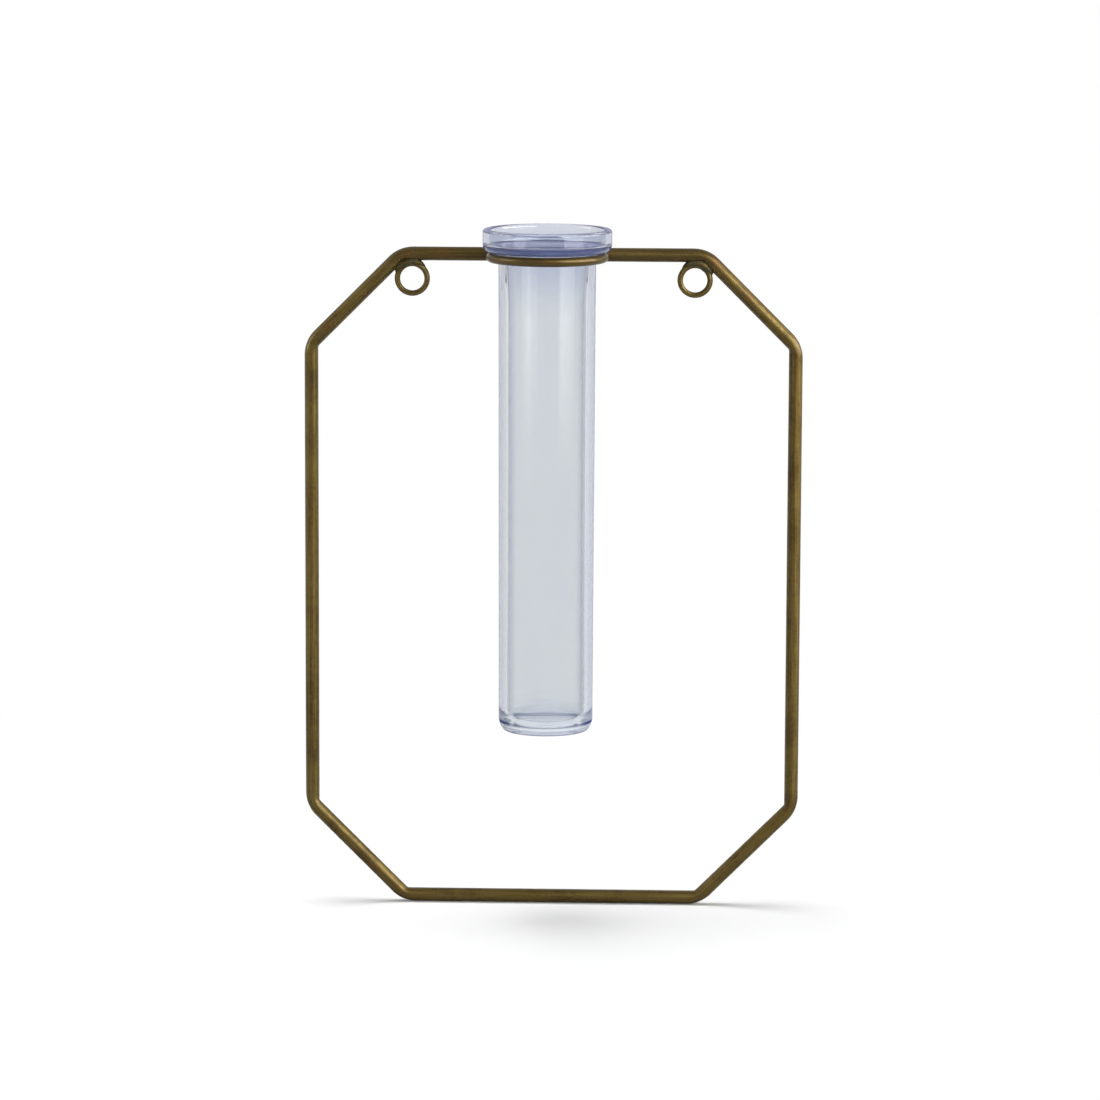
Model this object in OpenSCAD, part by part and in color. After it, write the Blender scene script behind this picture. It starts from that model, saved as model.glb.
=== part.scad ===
// Hanging wall vase: a bent brass rod frame with a glass tube dropped into a ring
//
// Millimetres. +X is to the right, +Y goes into the wall and +Z is up.
// The origin lies midway between the centres of the two hanging eyes, in the frame's middle plane.

/* [Frame] */
// Outside width of the frame
frame_w = 152; // [130:1:200]
// Outside height of the frame
frame_h = 203.4; // [185:0.2:280]
// Diameter of the frame's rod
rod_d = 4.2; // [3.2:0.1:6]
// Leg of each 45 degree cut at the top corners, along the rod's centre line
cut_top = 27.7; // [20:0.1:40]
// Leg of each 45 degree cut at the bottom corners, along the rod's centre line
cut_bottom = 28.6; // [20:0.1:40]
// Radius of each bend at the rod's centre line
bend_r = 8.6; // [5:0.1:14]

/* [Tube ring] */
// Diameter of the ring's wire
ring_wire_d = 2.8; // [2:0.1:4]
// Play between the tube's body and the inside of the ring, on each side
ring_play = 0.95; // [0.4:0.05:2]
// Height of the ring's wire above the frame's top bar, centre to centre
ring_rise = 1; // [0:0.1:2]
// Distance of the ring's centre to the left of the frame's middle
ring_shift = 1.2; // [-6:0.1:6]

/* [Hanging eyes] */
// Outside diameter of an eye
eye_d = 10.8; // [9.6:0.1:14]
// Diameter of the wire that an eye is bent from
eye_wire_d = 1.8; // [1.5:0.1:2.2]
// Depth of the flat band that the inside of an eye is dressed to
eye_band = 0.1; // [0.05:0.01:0.2]

/* [Brazing] */
// Thickness of the brazing film between two wires
braze_film = 0.1; // [0.05:0.05:0.3]
// Length of the bead behind the ring
ring_bead_l = 8; // [5:0.5:10]
// Thickness of the bead behind the ring, across both wires
ring_bead_d = 3.6; // [3:0.1:5]
// Length of the bead along each of the two contacts of an eye
eye_bead_l = 4.4; // [3.4:0.1:5]
// Thickness of the bead at an eye
eye_bead_d = 2; // [1.6:0.1:2.4]

/* [Glass tube] */
// Length of the tube from its lip to its foot
tube_l = 152.4; // [110:0.2:180]
// Outside diameter of the body just below the collar
neck_d = 29.3; // [24:0.1:34]
// How much less the body measures across at its foot
taper = 0.8; // [0:0.1:3]
// Thickness of the body's wall at the foot
body_wall = 2.55; // [1.6:0.05:4]
// Length over which the bore widens towards the collar
flare_l = 15; // [5:0.5:40]
// Thickness of the glass under the bore
floor_t = 2.2; // [1.6:0.1:6]
// Radius of the inside corner at the floor of the bore
floor_round = 4.5; // [2:0.1:7]
// How far the heel draws in, from the body to the foot
heel_in = 1.5; // [0.8:0.1:2]
// Height of the heel
heel_h = 3.4; // [2.8:0.1:5]
// Radius of the edge that the tube would stand on
foot_round = 0.9; // [0.4:0.1:1.2]
// Reach of the collar past the middle of the ring's wire
collar_reach = 2.45; // [2.1:0.05:4]
// Height of the collar from its seat to the lip
collar_h = 7; // [6:0.1:12]
// Thickness of the collar's wall and of its floor
collar_wall = 2; // [1.4:0.1:2.4]
// Gap between the collar and the ring that it hangs on
seat_gap = 0.15; // [0.05:0.05:0.3]

/* [Hidden] */
$fn = 96;

// Frame: centre lines, seen from the front, with the eyes' height as zero
rod_r = rod_d / 2;
half_w = (frame_w - rod_d) / 2;
eye_r = eye_d / 2;
eye_drop = rod_r + braze_film + eye_r;
bar_z = eye_drop;
foot_z = bar_z - (frame_h - rod_d);
corners = [[half_w - cut_top, bar_z], [half_w, bar_z - cut_top],
           [half_w, foot_z + cut_bottom], [half_w - cut_bottom, foot_z],
           [-half_w + cut_bottom, foot_z], [-half_w, foot_z + cut_bottom],
           [-half_w, bar_z - cut_top], [-half_w + cut_top, bar_z]];
turn = 45;
// Room that keeps the rounding cut off the straight rod where the bend begins
bend_slack = 0.02;

// Eyes: each nests in the corner between the top bar and the cut
eye_x = half_w - cut_top - eye_drop * tan(turn / 2);
eye_loop_r = eye_r - eye_wire_d / 2;
eye_hole_r = eye_r - eye_wire_d + eye_band;

// Ring: its wire lies against the front of the top bar
ring_wire_r = ring_wire_d / 2;
ring_loop_r = neck_d / 2 + ring_play + ring_wire_r;
ring_x = -ring_shift;
ring_z = bar_z + ring_rise;
wire_reach = rod_r + braze_film + ring_wire_r;
ring_back_y = -sqrt(wire_reach * wire_reach - ring_rise * ring_rise);
ring_y = ring_back_y - ring_loop_r;

// Tube: heights above its own foot
seat_h = tube_l - collar_h;
tube_z = ring_z + ring_wire_r + seat_gap - seat_h;
neck_r = neck_d / 2;
foot_r = neck_r - taper / 2;
collar_r = ring_loop_r + collar_reach;
// The hollow under the collar ends above the middle of the ring's wire
shoulder_r = ring_loop_r - neck_r;
lip_r = collar_wall / 2;
cup_r = collar_r - collar_wall;
cup_h = seat_h + collar_wall;
cup_round = 0.8;
// The throat runs round the hollow under the collar, one wall's thickness away from it
throat_r = shoulder_r + collar_wall;
throat_x = min(ring_loop_r, cup_r - cup_round);
bore_r = foot_r - body_wall;

// Tube: the edge that it would stand on, and the belly where the heel's two slopes meet
foot_edge = [foot_r - heel_in, 0];
heel_belly = [foot_r - 0.3 * heel_in, 0.47 * heel_h];
// Makes a rounding meet its two sides at a slight angle, and not along a sliver
round_slack = 0.01;

function along(a, b) = (b - a) / norm(b - a);

// Points from a corner towards the inside of the frame
function way_sum(before, corner, after) = along(corner, after) + along(corner, before);

// A straight rod between two points of the frame's middle plane
module rod_between(a, b) {
    run = b - a;
    translate([a.x, 0, a.y])
        rotate([0, atan2(run.x, run.y), 0])
            cylinder(h = norm(run), r = rod_r);
}

// What a bend takes off the outside of a corner: a cold bent rod is rounded there, and sharp inside
module bend_cut(before, corner, after) {
    outwards = along(way_sum(before, corner, after), [0, 0]);
    centre = corner - outwards * bend_r / cos(turn / 2);
    translate([centre.x, 0, centre.y])
        rotate([90, 0, 0])
            rotate([0, 0, atan2(outwards.y, outwards.x) - turn / 2])
                rotate_extrude(angle = turn)
                    difference() {
                        translate([bend_r, -rod_d])
                            square([2 * rod_d, 2 * rod_d]);
                        translate([bend_r, 0])
                            circle(r = rod_r + bend_slack);
                    }
}

// A bead with round ends, lying along X round the origin
module bead(length, thickness) {
    straight = length - thickness;
    rotate([0, 90, 0])
        cylinder(h = straight, r = thickness / 2, center = true);
    for (end = [-0.5, 0.5])
        translate([end * straight, 0, 0])
            sphere(r = thickness / 2);
}

// A closed loop of round wire, lying flat round the Z axis
module wire_loop(loop_r, wire_r) {
    rotate_extrude()
        translate([loop_r, 0])
            circle(r = wire_r);
}

// One rod, bent at eight corners, with its ends joined behind the ring
module octagon_frame() {
    last = len(corners) - 1;
    color([0.43, 0.34, 0.17])
        difference() {
            for (i = [0 : last]) {
                start = corners[i];
                end = corners[i == last ? 0 : i + 1];
                overrun = along(start, end) * rod_r;
                rod_between(start - overrun, end + overrun);
            }
            for (i = [0 : last])
                bend_cut(corners[i == 0 ? last : i - 1], corners[i], corners[i == last ? 0 : i + 1]);
        }
}

module tube_ring() {
    color([0.5, 0.41, 0.22])
        translate([ring_x, ring_y, ring_z])
            wire_loop(ring_loop_r, ring_wire_r);
}

// The brazing that fills the groove above and below the contact of ring and top bar
module ring_bead() {
    contact = (rod_r + braze_film / 2) / wire_reach;
    color([0.36, 0.27, 0.13])
        difference() {
            translate([ring_x, ring_back_y * contact, bar_z + ring_rise * contact])
                bead(ring_bead_l, ring_bead_d);
            rod_between(corners[7], corners[0]);
            tube_ring();
        }
}

// An eye bent from wire, its inside dressed to a flat band for the nail
module eye(x) {
    color([0.5, 0.4, 0.2])
        translate([x, 0, 0])
            rotate([90, 0, 0])
                difference() {
                    wire_loop(eye_loop_r, eye_wire_d / 2);
                    cylinder(h = 2 * eye_wire_d, r = eye_hole_r, center = true);
                }
}

// The brazing that fills the corner between an eye, the top bar and the cut
module eye_bead(side) {
    contact = eye_drop - rod_r - braze_film / 2;
    color([0.36, 0.27, 0.13])
        mirror([side < 0 ? 1 : 0, 0, 0])
            difference() {
                for (lean = [0, turn])
                    translate([eye_x, 0, 0])
                        rotate([0, lean, 0])
                            translate([0, 0, contact])
                                bead(eye_bead_l, eye_bead_d);
                eye(eye_x);
                rod_between(corners[7], corners[0]);
                rod_between(corners[0], corners[1]);
            }
}

module left_eye() {
    eye(-eye_x);
}

module right_eye() {
    eye(eye_x);
}

module left_eye_bead() {
    eye_bead(-1);
}

module right_eye_bead() {
    eye_bead(1);
}

// What rounding takes off a corner of an outline
module corner_cut(before, corner, after, r) {
    half = acos(along(corner, before) * along(corner, after)) / 2;
    centre = corner + along([0, 0], way_sum(before, corner, after)) * r / sin(half);
    difference() {
        polygon([corner + along(corner, before) * r / tan(half), centre,
                 corner + along(corner, after) * r / tan(half), 2 * corner - centre]);
        translate(centre)
            circle(r = r + round_slack);
    }
}

// Half of the tube's outside, from its axis outwards and from its foot upwards
module tube_outside() {
    difference() {
        polygon([[0, 0], foot_edge, heel_belly, [foot_r, heel_h], [neck_r, seat_h - shoulder_r],
                 [neck_r, seat_h + collar_wall], [0, seat_h + collar_wall]]);
        corner_cut([0, 0], foot_edge, heel_belly, foot_round);
    }
    // Hollow shoulder that the ring's wire lies in
    difference() {
        translate([0, seat_h - shoulder_r])
            square([ring_loop_r, shoulder_r]);
        translate([ring_loop_r, seat_h - shoulder_r])
            circle(r = shoulder_r);
    }
    // Collar, rounded underneath and at its lip
    translate([0, seat_h])
        square([ring_loop_r, collar_h - lip_r]);
    translate([0, seat_h + collar_reach])
        square([collar_r, collar_h - lip_r - collar_reach]);
    translate([ring_loop_r, seat_h + collar_reach])
        circle(r = collar_reach);
    translate([cup_r + lip_r, tube_l - lip_r])
        circle(r = lip_r);
}

// Half of the space inside the tube: the bore, its flare and throat, and the cup that the collar makes
module tube_inside() {
    neck_h = cup_h - throat_r;
    difference() {
        polygon([[0, floor_t], [bore_r, floor_t], [bore_r, neck_h - flare_l],
                 [throat_x - throat_r, neck_h], [throat_x - throat_r, cup_h], [0, cup_h]]);
        corner_cut([0, floor_t], [bore_r, floor_t], [bore_r, neck_h - flare_l], floor_round);
    }
    difference() {
        translate([0, neck_h])
            square([throat_x, throat_r]);
        translate([throat_x, neck_h])
            circle(r = throat_r);
    }
    difference() {
        translate([0, cup_h])
            square([cup_r + lip_r, collar_h]);
        corner_cut([0, cup_h], [cup_r, cup_h], [cup_r, tube_l], cup_round);
        translate([cup_r + lip_r, tube_l - lip_r])
            circle(r = lip_r);
    }
}

// Blown glass tube with a widened collar, closed at its foot
module glass_tube() {
    color([0.78, 0.8, 0.9, 0.5])
        translate([ring_x, ring_y, tube_z])
            rotate_extrude()
                difference() {
                    tube_outside();
                    tube_inside();
                }
}

octagon_frame();
tube_ring();
ring_bead();
left_eye();
left_eye_bead();
right_eye();
right_eye_bead();
glass_tube();
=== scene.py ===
# %% [markdown]
# # A hanging wall vase in brass and glass
#
# An octagon of bent brass rod hangs from two small eyes. A wire ring at its top carries a glass tube,
# which lifts out to be filled. The working model already has every piece at its true size and place.
# This lesson gives each piece the surface that the real one shows: brushed wire, lumps of braze and
# thick blown glass.

# %% Load the frame
import math

import bmesh
import bpy
from mathutils import Matrix, Vector, noise


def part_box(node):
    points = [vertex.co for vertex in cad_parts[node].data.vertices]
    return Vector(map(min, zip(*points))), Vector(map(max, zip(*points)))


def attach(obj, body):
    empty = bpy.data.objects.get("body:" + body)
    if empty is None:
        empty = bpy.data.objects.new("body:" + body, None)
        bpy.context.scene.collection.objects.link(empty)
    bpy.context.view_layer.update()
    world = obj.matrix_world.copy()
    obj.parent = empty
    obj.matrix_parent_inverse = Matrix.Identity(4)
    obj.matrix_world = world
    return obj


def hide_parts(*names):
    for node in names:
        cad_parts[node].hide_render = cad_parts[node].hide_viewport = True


MM = 0.001

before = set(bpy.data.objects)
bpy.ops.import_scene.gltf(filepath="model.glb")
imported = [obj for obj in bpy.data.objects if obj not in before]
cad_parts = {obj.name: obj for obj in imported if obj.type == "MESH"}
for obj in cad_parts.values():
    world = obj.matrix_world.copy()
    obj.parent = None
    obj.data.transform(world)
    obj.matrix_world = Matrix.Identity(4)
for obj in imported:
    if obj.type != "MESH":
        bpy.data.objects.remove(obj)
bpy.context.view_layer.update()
print("nodes:", sorted(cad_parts))

# %% [markdown]
# ## The sizes that everything follows
#
# A drawing of this vase needs few numbers. The rods, the ring and the tube are measured off the working
# model, so they can't drift from it. Only what a bounding box doesn't tell is written down here: how
# far each corner is cut back, and how tightly the rod was bent.

# %% Measure the working model
def centre_and_size(node):
    low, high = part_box(node)
    return (low + high) / 2, high - low


frame_centre, frame_size = centre_and_size("octagon_frame")
ring_centre, ring_size = centre_and_size("tube_ring")
eye_centre, eye_size = centre_and_size("right_eye")
tube_centre, tube_size = centre_and_size("glass_tube")

rod_r = frame_size.y / 2
half_w = frame_size.x / 2 - rod_r
bar_z = frame_centre.z + frame_size.z / 2 - rod_r
foot_z = frame_centre.z - frame_size.z / 2 + rod_r
cut_top = 27.7 * MM
cut_bottom = 28.6 * MM
bend_r = 8.6 * MM
TURN = math.radians(45)

ring_wire_r = ring_size.z / 2
ring_loop_r = ring_size.x / 2 - ring_wire_r
eye_wire_r = eye_size.y / 2
eye_loop_r = eye_size.x / 2 - eye_wire_r
for wire_name, wire_r in (("rod", rod_r), ("ring wire", ring_wire_r), ("eye wire", eye_wire_r)):
    print(f"{wire_name}: {2 * wire_r / MM:.1f} mm")

# %% [markdown]
# ## Wire that remembers being straight
#
# The frame, the ring and the eyes are all round wire, drawn and brushed while it was straight and bent
# afterwards. So the fine lines of the brushing run along the wire and follow each bend. A curve with a
# round bevel would give the shape, but a pattern laid over it in space would cut across the bends. Here
# the wire is first extruded straight, every vertex notes its place as an attribute, and only then is
# the wire bent. The material reads that attribute, and the brushing bends with the metal.

# %% Extrude and bend a wire
ON_WIRE = "on_straight_wire"
merge_gap = 0.002 * MM


def add_wire(shape, radius, stations, sides, bend):
    """Adds a round wire along Z, with a ring of vertices at each station, and bends it."""
    note = shape.verts.layers.float_vector.get(ON_WIRE) or shape.verts.layers.float_vector.new(ON_WIRE)
    verts = bmesh.ops.create_circle(shape, segments=sides, radius=radius)["verts"]
    bmesh.ops.translate(shape, vec=(0, 0, stations[0]), verts=verts)
    front = list({edge for vert in verts for edge in vert.link_edges})
    for here, there in zip(stations, stations[1:]):
        made = bmesh.ops.extrude_edge_only(shape, edges=front)["geom"]
        front = [part for part in made if isinstance(part, bmesh.types.BMEdge)]
        moved = [part for part in made if isinstance(part, bmesh.types.BMVert)]
        bmesh.ops.translate(shape, vec=(0, 0, there - here), verts=moved)
        verts += moved
    for vert in verts:
        vert[note] = vert.co
        vert.co = bend(vert.co.copy())


def finish_piece(shape, name, body, node):
    """Closes a bmesh into a smooth piece that rides on a body and stands for one node of the model."""
    bmesh.ops.remove_doubles(shape, verts=shape.verts, dist=merge_gap)
    bmesh.ops.recalc_face_normals(shape, faces=shape.faces)
    for face in shape.faces:
        face.smooth = True
    open_edges = sum(not edge.is_manifold for edge in shape.edges)
    mesh = bpy.data.meshes.new(name)
    shape.to_mesh(mesh)
    shape.free()
    piece = bpy.data.objects.new(name, mesh)
    bpy.context.scene.collection.objects.link(piece)
    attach(piece, body)
    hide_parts(node)
    print(f"{name}: {len(mesh.polygons)} faces, {open_edges} open edges")
    return piece


def closed_wire(name, radius, stations, sides, bend, node):
    """A wire whose end is bent round to meet its start."""
    wire = bmesh.new()
    add_wire(wire, radius, stations, sides, bend)
    return finish_piece(wire, name, "frame", node)


# %% [markdown]
# ## The octagon
#
# One rod makes the whole octagon. It was bent cold at eight places, and its ends meet behind the ring.
# A rod bent like this is well rounded on the outside of each bend, and nearly creased on the inside,
# where the metal is squeezed. So each line along the rod turns with its own radius: the full radius on
# the outside, and hardly any on the inside.

# %% Walk round the octagon
corners = [Vector(spot) for spot in (
    (half_w - cut_top, bar_z), (half_w, bar_z - cut_top),
    (half_w, foot_z + cut_bottom), (half_w - cut_bottom, foot_z),
    (-half_w + cut_bottom, foot_z), (-half_w, foot_z + cut_bottom),
    (-half_w, bar_z - cut_top), (-half_w + cut_top, bar_z))]
rod_start = Vector((ring_centre.x, bar_z))
crease_r = 1.1 * MM
half_arc = bend_r * TURN / 2
set_back = bend_r * math.tan(TURN / 2)


def outward(along):
    """The side of a leg that faces away from the octagon, when it is walked clockwise."""
    return Vector((-along.y, along.x))


def rod_legs():
    """Each leg as its first point, its direction, and how much rod lies before and in it."""
    stops = [rod_start] + corners + [rod_start]
    legs = []
    before = 0
    for number, (start, end) in enumerate(zip(stops, stops[1:])):
        along = (end - start).normalized()
        trim_start = 0 if number == 0 else set_back
        trim_end = 0 if number == len(corners) else set_back
        length = (end - start).length - trim_start - trim_end
        legs.append((start + along * trim_start, along, before, length))
        before += length + 2 * half_arc
    return legs


legs = rod_legs()


def line_radius(out):
    """How tightly the line that lies this far out of the rod's middle turns at a bend."""
    squeeze = min(1, max(0, -out / rod_r))
    squeeze = squeeze * squeeze * (3 - 2 * squeeze)
    return (bend_r + out) * (1 - squeeze) + crease_r * squeeze


def bend_octagon(spot):
    out, depth, run = spot
    for number, (start, along, before, length) in enumerate(legs):
        if run <= before + length or number == len(corners):
            place = start + along * (run - before) + outward(along) * out
            return Vector((place.x, depth, place.y))
        if run < before + length + 2 * half_arc:
            corner = corners[number]
            after = legs[number + 1][1]
            split = (outward(along) + outward(after)).normalized()
            turned = (run - before - length) / bend_r - TURN / 2
            radius = line_radius(out)
            pivot = corner + split * (out - radius) / math.cos(TURN / 2)
            place = pivot + Matrix.Rotation(-turned, 2) @ split * radius
            return Vector((place.x, depth, place.y))


# %% Make the octagon
leg_step = 3 * MM
bend_steps = 14
near_bend = 0.5 * MM
octagon_stations = []
for number, (start, along, before, length) in enumerate(legs):
    steps = math.ceil(length / leg_step)
    spots = [before + near_bend + (length - 2 * near_bend) * i / steps for i in range(steps + 1)]
    if number == 0:
        spots[0] = before
    if number == len(corners):
        spots[-1] = before + length
    octagon_stations += spots
    if number < len(corners):
        bend = before + length
        octagon_stations += [bend + 2 * half_arc * i / bend_steps for i in range(bend_steps + 1)]

octagon = closed_wire("octagon_rod", rod_r, octagon_stations, 48, bend_octagon, "octagon_frame")
print(f"the rod is {octagon_stations[-1] / MM:.0f} mm long before it is bent")

# %% [markdown]
# ## The ring and the eyes
#
# The same straight wire serves for the ring that carries the tube and for the two hanging eyes. Each is
# bent round a full turn, and each has its joint where the brazing hides it. Inside the eyes the wire is
# dressed to a narrow flat band, where a nail bears on it.

# %% Bend the ring
def even_stations(length, count):
    return [length * i / count for i in range(count + 1)]


def bend_ring(spot):
    out, up, run = spot
    turned = run / ring_loop_r
    reach = ring_loop_r + out
    return ring_centre + Vector((reach * math.sin(turned), reach * math.cos(turned), up))


ring = closed_wire("brass_ring", ring_wire_r, even_stations(math.tau * ring_loop_r, 160), 40,
                   bend_ring, "tube_ring")


# %% Bend the two eyes
band_depth = 0.1 * MM


def bend_eye(side):
    def bend(spot):
        out, depth, run = spot
        out = max(out, band_depth - eye_wire_r)
        turned = run / eye_loop_r
        reach = eye_loop_r + out
        return Vector((side * (eye_centre.x + reach * math.sin(turned)), depth,
                       eye_centre.z + reach * math.cos(turned)))
    return bend


eye_stations = even_stations(math.tau * eye_loop_r, 96)
eyes = [closed_wire(node + "_loop", eye_wire_r, eye_stations, 32, bend_eye(side), node)
        for side, node in ((-1, "left_eye"), (1, "right_eye"))]

# %% [markdown]
# ## Brazing
#
# Molten braze creeps into a narrow gap and hardens with a hollow, slightly lumpy face. Modelling that
# face by hand is slow. This way lets the shape form itself: short, slightly thin copies of the wires
# are put together with a few drops of metal, remeshed into one skin and smoothed. Smoothing shrinks
# whatever bulges, so the copies vanish inside the real wires, and it fills whatever is hollow, which
# leaves just the braze in view.

# %% Let a joint form itself
thin = 0.06 * MM
skin_voxel = 0.13 * MM
smoothing_rounds = 14
lumps_per_mm = 0.9
lump_height = 0.05 * MM


def add_core(shape, radius, stations, bend):
    """A thin copy of a stretch of wire, closed at its ends."""
    add_wire(shape, radius - thin, stations, 32, bend)
    rims = [edge for edge in shape.edges if edge.is_boundary]
    bmesh.ops.holes_fill(shape, edges=rims, sides=0)


def add_drop(shape, spot, radius, stretch=(1, 1, 1)):
    place = Matrix.Translation(spot) @ Matrix.Diagonal((*stretch, 1))
    bmesh.ops.create_icosphere(shape, subdivisions=3, radius=radius, matrix=place)


def form_joint(shape, name, node):
    """Turns overlapping wires and drops into one skin, as if the metal had run together."""
    joint = finish_piece(shape, name, "frame", node)
    remesh = joint.modifiers.new("one skin", "REMESH")
    remesh.mode = "VOXEL"
    remesh.voxel_size = skin_voxel
    smooth = joint.modifiers.new("surface tension", "SMOOTH")
    smooth.factor = 0.5
    smooth.iterations = smoothing_rounds
    formed = bpy.data.meshes.new_from_object(joint.evaluated_get(bpy.context.evaluated_depsgraph_get()))
    joint.modifiers.clear()
    joint.data = formed
    moves = [noise.noise(vert.co / MM * lumps_per_mm) * lump_height * vert.normal
             for vert in formed.vertices]
    for vert, move in zip(formed.vertices, moves):
        vert.co += move
    for face in formed.polygons:
        face.use_smooth = True
    print(f"{name}: {len(formed.polygons)} faces once formed")
    return joint


# %% Braze the eyes
left_bend, right_bend = legs[-1][2] - half_arc, legs[0][3] + half_arc
brazed_rod = 11 * MM
before_top = 0.1 * eye_stations[-1]
brazed_count = 58
brazed_arc = [spot - before_top for spot in eye_stations[:brazed_count]]


def near(stations, middle, reach):
    return [spot for spot in stations if abs(spot - middle) < reach]


def braze_eye(side, drops):
    """Each drop: degrees round the eye from its top, distance from the eye's centre, radius, depth."""
    shape = bmesh.new()
    bend = left_bend if side < 0 else right_bend
    add_core(shape, rod_r, near(octagon_stations, bend, brazed_rod), bend_octagon)
    add_core(shape, eye_wire_r, brazed_arc, bend_eye(side))
    for degrees, reach, size, depth in drops:
        turned = math.radians(degrees)
        across, up = math.sin(turned) * reach * MM, math.cos(turned) * reach * MM
        add_drop(shape, Vector((side * (eye_centre.x + across), 0, up)), size * MM, (1, depth, 1))
    name = "left_eye" if side < 0 else "right_eye"
    return form_joint(shape, name + "_braze", name + "_bead")


drop_step = 4
end_taper = 6
bluntness = 0.6


def bead_run(start, end, reach, size, depth):
    """Drops that overlap into one bead, thick in its middle and thin at its ends."""
    drops = []
    for spot in range(start, end, drop_step):
        along = math.pi * (spot - start + end_taper) / (end - start + 2 * end_taper)
        drops.append((spot, reach, size * math.sin(along) ** bluntness, depth))
    return drops


left_drops = bead_run(-46, 70, 5.2, 1.2, 1.5)
right_drops = bead_run(-44, 72, 5.25, 1.25, 1.5) + bead_run(22, 56, 4.5, 0.9, 1.2)
left_braze = braze_eye(-1, left_drops)
right_braze = braze_eye(1, right_drops)

# %% Braze the ring
# Each drop: millimetres across from the ring's middle, radius
gap_drops = ((-3.4, 0.75), (-2, 1.1), (-0.5, 1.3), (1, 1.25), (2.4, 1.0), (3.5, 0.7))
saddle_drops = ((-5.4, 0.9), (-4, 1.3), (-2.4, 1.5), (-0.8, 1.6),
                (0.8, 1.6), (2.4, 1.5), (4, 1.25), (5.3, 0.9))
saddle_y = -0.4 * MM
saddle_z = bar_z + 2.4 * MM
towards_bar = 0.42

ring_joint = bmesh.new()
add_core(ring_joint, rod_r, [spot * MM for spot in range(-8, 9)], bend_octagon)
ring_back = [ring_loop_r * math.radians(degrees) for degrees in range(-24, 25, 2)]
add_core(ring_joint, ring_wire_r, ring_back, bend_ring)
back_of_ring = ring_centre + Vector((0, ring_loop_r, 0))
gap = back_of_ring.lerp(Vector((ring_centre.x, 0, bar_z)), towards_bar)
for across, size in gap_drops:
    add_drop(ring_joint, gap + Vector((across * MM, 0, 0)), size * MM)
for across, size in saddle_drops:
    add_drop(ring_joint, Vector((ring_centre.x + across * MM, saddle_y, saddle_z)), size * MM)
ring_braze = form_joint(ring_joint, "ring_braze", "ring_bead")

# %% [markdown]
# ## The glass tube
#
# The tube is blown glass with a thick wall, closed at its foot and widened at its lip into a small cup,
# whose shoulder hangs on the ring. Its outline is drawn as a few corners, each corner is rounded with
# an arc, and the line is spun round the tube's axis. Long straight spans get extra points near their
# ends. Without them the smooth shading would drag the slant of a corner along the whole wall, and the
# glass would bend light wrongly.

# %% Draw the outline
tube_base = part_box("glass_tube")[0].z
tube_l = tube_size.z
neck_r = 14.65 * MM
foot_r = 14.25 * MM
bore_r = 11.7 * MM
flare_l = 15 * MM
heel_in = 1.5 * MM
heel_h = 3.4 * MM
heel_turn_in = 0.3 * heel_in
heel_turn_h = 0.47 * heel_h
floor_t = 2.2 * MM
collar_wall = 2 * MM
collar_h = 7 * MM
foot_round = 0.9 * MM
heel_round = 2.5 * MM
cup_round = 0.8 * MM
flare_round = 60 * MM
floor_round = 4.5 * MM
seat_h = tube_l - collar_h
collar_r = tube_size.x / 2
shoulder_r = ring_loop_r - neck_r
throat_r = shoulder_r + collar_wall
cup_r = collar_r - collar_wall
cup_h = seat_h + collar_wall
neck_bore_r = cup_r - cup_round - throat_r

# Each corner: distance from the axis, height above the foot, radius of its rounding
outline = [
    (0, 0, 0), (foot_r - heel_in, 0, foot_round), (foot_r - heel_turn_in, heel_turn_h, heel_round),
    (foot_r, heel_h, heel_round), (neck_r, seat_h, shoulder_r),
    (collar_r, seat_h, collar_r - ring_loop_r),
    (collar_r, tube_l, collar_wall / 2), (cup_r, tube_l, collar_wall / 2), (cup_r, cup_h, cup_round),
    (neck_bore_r, cup_h, throat_r), (bore_r, cup_h - throat_r - flare_l, flare_round),
    (bore_r, floor_t, floor_round), (0, floor_t, 0)]


def rounded(before, corner, after, radius, steps):
    """The points of the arc that rounds one corner of a line."""
    corner = Vector(corner)
    back, on = (Vector(before) - corner).normalized(), (Vector(after) - corner).normalized()
    half = back.angle(on) / 2
    pivot = corner + (back + on).normalized() * radius / math.sin(half)
    first = corner + back * radius / math.tan(half) - pivot
    sweep = math.pi - 2 * half
    sign = 1 if back.x * on.y - back.y * on.x < 0 else -1
    return [pivot + Matrix.Rotation(sign * sweep * i / steps, 2) @ first for i in range(steps + 1)]


arc_steps = 10
shortest_span = 1.2 * MM
widest_gap = 8 * MM


def spread(start, end):
    """The points that a span gets between its ends: close to each end, and then evenly."""
    length = (end - start).length
    if length < shortest_span:
        return []
    close = [0.15 * MM, 0.4 * MM]
    count = math.ceil(length / widest_gap)
    even = [length * i / count for i in range(1, count)]
    far = [length - gap for gap in reversed(close)]
    return [start.lerp(end, gap / length) for gap in close + even + far]


profile = []
for before, here, after in zip([None] + outline, outline, outline[1:] + [None]):
    radius = here[2]
    arc = [Vector(here[:2])]
    if radius:
        arc = rounded(before[:2], here[:2], after[:2], radius, arc_steps)
    if profile:
        profile += spread(profile[-1], arc[0])
    profile += arc
print(len(profile), "points on the outline")

# %% Spin it
tube = bmesh.new()
line = [tube.verts.new((spot.x, 0, spot.y)) for spot in profile]
edges = [tube.edges.new(pair) for pair in zip(line, line[1:])]
bmesh.ops.spin(tube, geom=line + edges, cent=(0, 0, 0), axis=(0, 0, 1), dvec=(0, 0, 0),
               angle=math.tau, steps=192, use_merge=True)
bmesh.ops.translate(tube, vec=(tube_centre.x, tube_centre.y, tube_base), verts=tube.verts)
glass_tube = finish_piece(tube, "blown_tube", "tube", "glass_tube")

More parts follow.
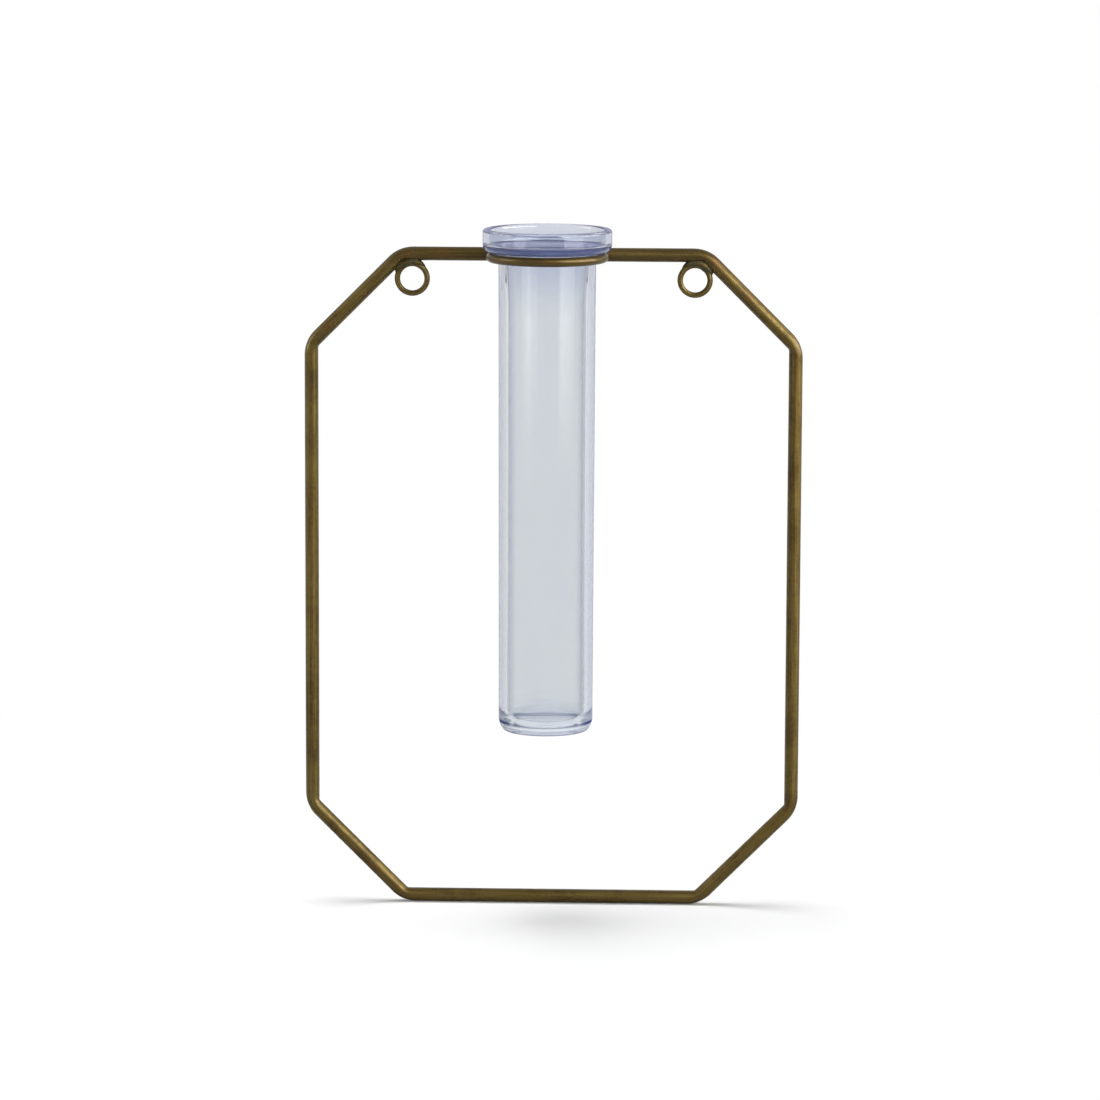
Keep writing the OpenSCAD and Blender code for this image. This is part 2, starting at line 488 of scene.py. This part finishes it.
# %% [markdown]
# ## Maths for the materials
#
# A material's nodes are easiest to read as a formula. This small class wraps one output of a node, and
# its operators add the Math nodes, so that a mask can be written as 1 - wear * 0.5.

# %% Wrap the nodes
def connect(tree, slot, value):
    if isinstance(value, Signal):
        tree.links.new(value.socket, slot)
    else:
        slot.default_value = value


class Signal:
    """One output of a node, with arithmetic."""

    def __init__(self, tree, socket):
        self.tree = tree
        self.socket = socket

    def maths(self, operation, first, second):
        made = self.tree.nodes.new("ShaderNodeMath")
        made.operation = operation
        connect(self.tree, made.inputs[0], first)
        connect(self.tree, made.inputs[1], second)
        return Signal(self.tree, made.outputs[0])

    def __add__(self, other):
        return self.maths("ADD", self, other)

    def __sub__(self, other):
        return self.maths("SUBTRACT", self, other)

    def __rsub__(self, other):
        return self.maths("SUBTRACT", other, self)

    def __mul__(self, other):
        return self.maths("MULTIPLY", self, other)

    __radd__ = __add__
    __rmul__ = __mul__

    def at_least(self, other):
        return self.maths("MAXIMUM", self, other)


class Finish:
    """A node tree under construction."""

    def __init__(self, tree):
        self.tree = tree
        tree.nodes.clear()

    def node(self, kind, settings=None, inputs=None, output=0):
        made = self.tree.nodes.new("ShaderNode" + kind)
        for name, value in (settings or {}).items():
            setattr(made, name, value)
        for name, value in (inputs or {}).items():
            connect(self.tree, made.inputs[name], value)
        return Signal(self.tree, made.outputs[output])

    def between(self, value, low, high, to_low=0, to_high=1):
        """Follows a value smoothly from one number to another, and no further."""
        span = {"Value": value, "From Min": low, "From Max": high, "To Min": to_low, "To Max": to_high}
        return self.node("MapRange", {"interpolation_type": "SMOOTHSTEP"}, span)

    def band(self, value, low, high, fade):
        """1 where a value lies between two numbers, 0 elsewhere, with a soft change just inside them."""
        return self.between(value, low, low + fade) * self.between(value, high - fade, high, 1, 0)

    def blend(self, factor, first, second):
        """Mixes two colours."""
        return self.node("Mix", {"data_type": "RGBA"}, {0: factor, 6: first, 7: second}, output=2)

    def grain(self, source, size, detail=2):
        """Noise whose lumps measure this much along each axis."""
        placed = self.node("Mapping", {}, {"Vector": source, "Scale": [1 / length for length in size]})
        lumps = {"Vector": placed, "Scale": 1, "Detail": detail, "Roughness": 0.6}
        return self.node("TexNoise", {}, lumps)

    def bump(self, height, depth, under=None):
        inputs = {"Height": height, "Strength": 1, "Distance": depth}
        if under:
            inputs["Normal"] = under
        return self.node("Bump", {}, inputs)

    def close(self, shader, kind="Material"):
        """Leads a shader to the output of a material, world or lamp."""
        end = self.tree.nodes.new("ShaderNodeOutput" + kind)
        connect(self.tree, end.inputs["Surface"], shader)
        print(f"{kind.lower()} of {len(self.tree.nodes)} nodes")


def new_finish(name):
    material = bpy.data.materials.new(name)
    material.use_nodes = True
    return material, Finish(material.node_tree)


# %% [markdown]
# ## Antique brass
#
# The wire was darkened to an olive brown, brushed along its length and lacquered. Three things show:
# fine lines along the wire, clouds where the darkening took more or less, and small pits and rubs. The
# lines are noise drawn out along the straight wire. The clouds don't care how the wire was bent, so
# they are noise in plain space. The same masks drive colour, roughness and a very shallow bump, because
# on real metal they are one thing seen three ways. The top bar, and to a lesser degree the bottom bar,
# are painted darker and with less of the brushing's shine. This is painted shade for the weaker
# reflections that level bars catch.

# %% Antique brass
brass, look = new_finish("antique_brass")
wire = look.node("Attribute", {"attribute_name": ON_WIRE}, output="Vector")
space = look.node("TexCoord", output="Object")

lines = look.grain(wire, (0.16 * MM, 0.16 * MM, 14 * MM), 3)
streaks = look.grain(wire, (0.7 * MM, 0.7 * MM, 40 * MM), 2)
clouds = look.grain(space, (9 * MM, 9 * MM, 9 * MM), 3)
mottle = look.grain(space, (1.1 * MM, 1.1 * MM, 1.1 * MM), 3)
pits = look.between(look.grain(wire, (0.35 * MM, 0.35 * MM, 0.6 * MM), 1), 0.74, 0.8)

dark_brass = (0.040, 0.023, 0.0025, 1)
mid_brass = (0.074, 0.049, 0.008, 1)
rubbed_brass = (0.150, 0.110, 0.034, 1)
red_brass = (0.078, 0.038, 0.009, 1)
pit_brown = (0.035, 0.024, 0.012, 1)
rubbed = look.between(lines * 0.55 + streaks * 0.45, 0.44, 0.66)
darkened = look.between(clouds * 0.6 + mottle * 0.4, 0.4, 0.64)
red_patches = look.between(look.grain(space, (6 * MM, 6 * MM, 6 * MM), 2), 0.6, 0.72)

height = look.node("SeparateXYZ", {}, {"Vector": space}, output="Z")
# Painted shade: the top bar, and less so the bottom bar, get darker and less rubbed colour
bar_shade_fade = 4 * MM
shaded_bars = look.between(height, bar_z - bar_shade_fade, bar_z - rod_r).at_least(
    look.between(height, foot_z + rod_r, foot_z + bar_shade_fade, 0.45, 0))
colour = look.blend(darkened.at_least(shaded_bars * 0.8), mid_brass, dark_brass)
colour = look.blend(rubbed * (0.58 - 0.2 * shaded_bars), colour, rubbed_brass)
colour = look.blend(red_patches * 0.6, colour, red_brass)
colour = look.blend(pits * 0.8, colour, pit_brown)

relief = look.bump(lines, 0.012 * MM)
relief = look.bump(mottle, 0.03 * MM, relief)
relief = look.bump(pits * -1, 0.04 * MM, relief)
look.close(look.node("BsdfPrincipled", {}, {
    "Base Color": colour, "Metallic": 0.95 - pits * 0.5, "Normal": relief,
    "Roughness": 0.42 + 0.1 * darkened + 0.1 * mottle + 0.2 * pits,
    "Coat Weight": 0.2, "Coat Roughness": 0.14}))

# %% [markdown]
# ## Braze
#
# The joints were left as the torch made them, and then darkened with the rest: brown metal that ran
# smooth, with patches of olive scale on it and a few rubbed, brassy spots. Scale stands up a little and
# is duller than the metal, so one mask sets its colour, its roughness and its relief.

# %% Braze
braze, look = new_finish("braze")
space = look.node("TexCoord", output="Object")
scale_patches = look.between(look.grain(space, (1.6 * MM, 1.6 * MM, 1.6 * MM), 3), 0.42, 0.62)
crumbs = look.grain(space, (0.3 * MM, 0.3 * MM, 0.3 * MM), 3)
rubbed_spots = look.between(look.grain(space, (0.9 * MM, 0.9 * MM, 0.9 * MM), 2), 0.56, 0.7)
colour = look.blend(scale_patches, (0.060, 0.040, 0.008, 1), (0.021, 0.022, 0.008, 1))
colour = look.blend(crumbs * 0.5, colour, (0.034, 0.027, 0.008, 1))
colour = look.blend(rubbed_spots * 0.45, colour, (0.12, 0.09, 0.03, 1))
relief = look.bump(scale_patches, 0.02 * MM)
relief = look.bump(crumbs, 0.015 * MM, relief)
look.close(look.node("BsdfPrincipled", {}, {
    "Base Color": colour, "Metallic": 0.85 - 0.35 * scale_patches, "Normal": relief,
    "Roughness": 0.45 + 0.16 * scale_patches - 0.08 * rubbed_spots}))

# %% [markdown]
# ## Blown glass
#
# The glass is clear with a blue-violet tint that shows where much of it lies in the line of sight: at
# the collar and at the foot. A tint in the volume would be the obvious way, but light that is caught
# inside the thick foot then goes black. So the glass itself stays clear. Its surface colours what
# passes through it, most of all at the collar, and carries a thin blue veil. Both thicken at the
# collar's thick glass, and as painted shade they fade down the neck below the ring. Where the surface
# turns away from the eye, films of painted shade darken the edges and turn them blue, for the darker
# room that the edges show. Blown glass is never quite even, so its surface swells by a few thousandths
# of a millimetre along the tube.

# %% Blown glass
glass, look = new_finish("lilac_glass")
space = look.node("TexCoord", output="Object")
swell = look.grain(space, (5 * MM, 5 * MM, 60 * MM), 2)
film = look.grain(space, (7 * MM, 7 * MM, 22 * MM), 3)
relief = look.bump(swell, 0.02 * MM)
height = look.node("SeparateXYZ", {}, {"Vector": space}, output="Z")
above_base = height - tube_base
# The collar's thicker glass, and painted shade that rises up the neck below the ring to the collar
collar_and_ring_shade = look.between(height, -10 * MM, 11 * MM)
at_foot = look.between(above_base, 3 * MM, 6.5 * MM, 1, 0)
thick = collar_and_ring_shade + at_foot
tint = look.blend(collar_and_ring_shade + 0.25 * at_foot, (0.815, 0.838, 0.835, 1), (0.735, 0.760, 0.798, 1))
clear = look.node("BsdfPrincipled", {}, {
    "Base Color": tint, "Roughness": 0, "IOR": 1.5, "Transmission Weight": 1, "Normal": relief})

# %% Painted edge shade and veil of the glass
# Painted shade: where the surface turns away, films darken the edges and turn them blue
facing = look.node("LayerWeight", {}, {"Blend": 0.5}, output="Facing")
pale_edge_shade = look.node("BsdfDiffuse", {}, {"Color": (0.22, 0.27, 0.42, 1)})
deep_edge_shade = look.node("BsdfDiffuse", {}, {"Color": (0.05, 0.07, 0.30, 1)})
edge = look.node("MixShader", {}, {0: look.between(facing, 0.72, 0.92), 1: pale_edge_shade, 2: deep_edge_shade})
turned_away_shade = look.between(facing, 0.33, 0.62) * (0.33 - 0.25 * thick)
outline_shade = look.between(facing, 0.78, 0.95) * (0.5 * thick)
body = look.node("MixShader", {}, {0: turned_away_shade + outline_shade, 1: clear, 2: edge})
veil = look.node("BsdfDiffuse", {}, {"Color": (0.06, 0.10, 0.42, 1)})
# Painted shade: the veil is denser towards the collar, fading down the neck below the ring
veiled_and_shaded = look.node("MixShader", {}, {0: 0.02 + 0.02 * film + 0.04 * collar_and_ring_shade, 1: body, 2: veil})

# %% [markdown]
# The outside of the foot is a little milky towards its bottom. One fine dark blue line of painted shade
# is drawn where the wall turns into the heel, and another round the edge of the foot, for the dark lines
# that the thick foot shows. Both lie on the outside only. The Backfacing output is 1 where light comes
# from within the glass, and a film there would darken whatever is seen through it.

# %% Foot of the glass
outside = 1 - look.node("NewGeometry", output="Backfacing")
milk = look.node("BsdfDiffuse", {}, {"Color": (0.5, 0.545, 0.61, 1)})
milky_foot = 0.45 * look.between(above_base, 4 * MM, 8 * MM, 1, 0)
milky = look.node("MixShader", {}, {0: milky_foot * outside, 1: veiled_and_shaded, 2: milk})

line_fade = 0.4 * MM
# Painted shade: a fine dark blue line round the heel, and another round the foot's edge
fine_line = look.band(above_base, 2.6 * MM, 3.6 * MM, line_fade)
broad_line = look.band(above_base, 2.4 * MM, 3.9 * MM, line_fade)
rim_line = look.between(above_base, 0.25 * MM, 0.6 * MM, 1, 0)
heel_shade = fine_line * (0.15 + 0.35 * look.between(facing, 0.05, 0.35))
heel_shade = heel_shade + broad_line * 0.5 * look.between(facing, 0.3, 0.6)
rim_shade = rim_line * (0.25 + 0.5 * look.between(facing, 0.2, 0.7))
navy_shade = look.node("BsdfDiffuse", {}, {"Color": (0.035, 0.05, 0.17, 1)})
look.close(look.node("MixShader", {}, {0: (heel_shade + rim_shade) * outside, 1: milky, 2: navy_shade}))

# %% Put the finishes on
for finish, pieces in ((brass, (octagon, ring, *eyes)),
                       (braze, (left_braze, right_braze, ring_braze)),
                       (glass, (glass_tube,))):
    for piece in pieces:
        piece.data.materials.append(finish)
    print(f"{finish.name} on", ", ".join(piece.name for piece in pieces))

# %% [markdown]
# ## The studio
#
# The vase stands on a white sweep. Camera, metal and glass all see that white. One big soft lamp
# overhead lays the shadow, and a shadowless fill beside the camera keeps upright faces as bright as the
# floor. The bright lines down the wires come from lamps that only show in reflections, as cards do
# round a product on a photographer's table. Two low strips give the soft lines down the glass, and fade
# out towards the floor.

# %% Floor
floor_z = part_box("octagon_frame")[0].z
sweep = bmesh.new()
bmesh.ops.create_grid(sweep, x_segments=1, y_segments=1, size=12)
bmesh.ops.translate(sweep, vec=(0, 0, floor_z), verts=sweep.verts)
floor_mesh = bpy.data.meshes.new("white_sweep")
sweep.to_mesh(floor_mesh)
sweep.free()
floor = bpy.data.objects.new("white_sweep", floor_mesh)
bpy.context.scene.collection.objects.link(floor)
print(f"the floor lies at {floor_z / MM:.1f} mm")

paper, look = new_finish("white_paper")
space = look.node("TexCoord", output="Object")
away = look.node("VectorMath", {"operation": "LENGTH"}, {0: space}, output="Value")
shadow_reach, white_from = 0.23, 0.42
far_off = look.between(away, shadow_reach, white_from)
lit_paper = look.node("BsdfDiffuse", {}, {"Color": (0.9, 0.9, 0.9, 1)})
white = look.node("Emission", {}, {"Color": (1, 1, 1, 1), "Strength": 1})
look.close(look.node("MixShader", {}, {0: 0.05 + 0.95 * far_off, 1: lit_paper, 2: white}))
floor_mesh.materials.append(paper)

# %% World
world = bpy.data.worlds.new("white_room")
bpy.context.scene.world = world
world.use_nodes = True
look = Finish(world.node_tree)
seen = look.node("LightPath", output="Is Camera Ray")
for rays in ("Is Glossy Ray", "Is Transmission Ray"):
    seen = seen.at_least(look.node("LightPath", output=rays))
backdrop = look.node("Background", {}, {"Color": (1, 1, 1, 1), "Strength": 1})
ambient = look.node("Background", {}, {"Color": (0.97, 0.98, 1, 1), "Strength": 0.22})
look.close(look.node("MixShader", {}, {0: seen, 1: ambient, 2: backdrop}), "World")


# %% Lamps
# An area lamp looks as bright as white at this many watts for each square metre
watts_of_white = 4


def hang_lamp(name, azimuth, elevation, distance, width, height, glow, hidden_from, aim_z=-0.09):
    """Azimuth runs from the camera's side to the right. A glow of 1 looks as bright as white."""
    turn, lift = math.radians(azimuth), math.radians(elevation)
    way = Vector((math.sin(turn) * math.cos(lift), -math.cos(turn) * math.cos(lift), math.sin(lift)))
    data = bpy.data.lights.new(name, "AREA")
    data.shape = "RECTANGLE"
    data.size, data.size_y = width, height
    data.energy = glow * watts_of_white * width * height
    lamp = bpy.data.objects.new(name, data)
    lamp.location = Vector((0, 0, aim_z)) + way * distance
    lamp.rotation_euler = (-way).to_track_quat("-Z", "Y").to_euler()
    for rays in ("camera", *hidden_from):
        setattr(lamp, "visible_" + rays, False)
    bpy.context.scene.collection.objects.link(lamp)
    print(f"{name}: {data.energy:.1f} W")
    return data


def glass_strip(name, azimuth, width, glow):
    """A low upright strip that fades out towards the floor, for the soft line down the glass."""
    low, high = floor_z + 4 * MM, -30 * MM
    data = hang_lamp(name, azimuth, 0, 0.55, width, high - low, glow, ("diffuse",), (low + high) / 2)
    data.use_nodes = True
    look = Finish(data.node_tree)
    on_lamp = look.node("NewGeometry", output="Parametric")
    height = look.node("SeparateXYZ", {}, {"Vector": on_lamp}, output="Y")
    look.close(look.node("Emission", {}, {"Strength": look.between(height, 0.3, 1)}), "Light")


reflections_only = ("diffuse", "transmission")
plain_light = ("glossy", "transmission")
hang_lamp("overhead", -130, 82, 1.6, 1.0, 1.0, 6.6, plain_light)
hang_lamp("front_fill", 20, 8, 1.2, 0.8, 0.8, 5, plain_light).use_shadow = False
hang_lamp("key", 45, 25, 1.2, 0.76, 0.95, 6, reflections_only)
hang_lamp("side_sheet", 84, 20, 1.1, 0.8, 0.5, 11, reflections_only)
hang_lamp("left_sheet", -80, 20, 1.1, 0.6, 0.5, 4, reflections_only)
glass_strip("right_strip", 49, 0.36, 1.4)
glass_strip("left_strip", -47, 0.21, 1.0)

# %% Camera
camera_data = bpy.data.cameras.new("camera")
camera = bpy.data.objects.new("camera", camera_data)
camera.location = Vector((53.335, -1533.736, 148.24)) * MM
aim = Vector((-0.76, 0, -83.31)) * MM
level = (aim - camera.location).to_track_quat("-Z", "Y")
roll = math.radians(0.23)
camera.rotation_euler = (level.to_matrix() @ Matrix.Rotation(roll, 3, "Z")).to_euler()
camera_data.sensor_width = 36
camera_data.lens = 165.62
camera_data.clip_start = 0.01
bpy.context.scene.collection.objects.link(camera)
bpy.context.scene.camera = camera
bpy.context.scene.view_settings.view_transform = "Standard"
print(f"the camera stands {(aim - camera.location).length:.2f} m away")
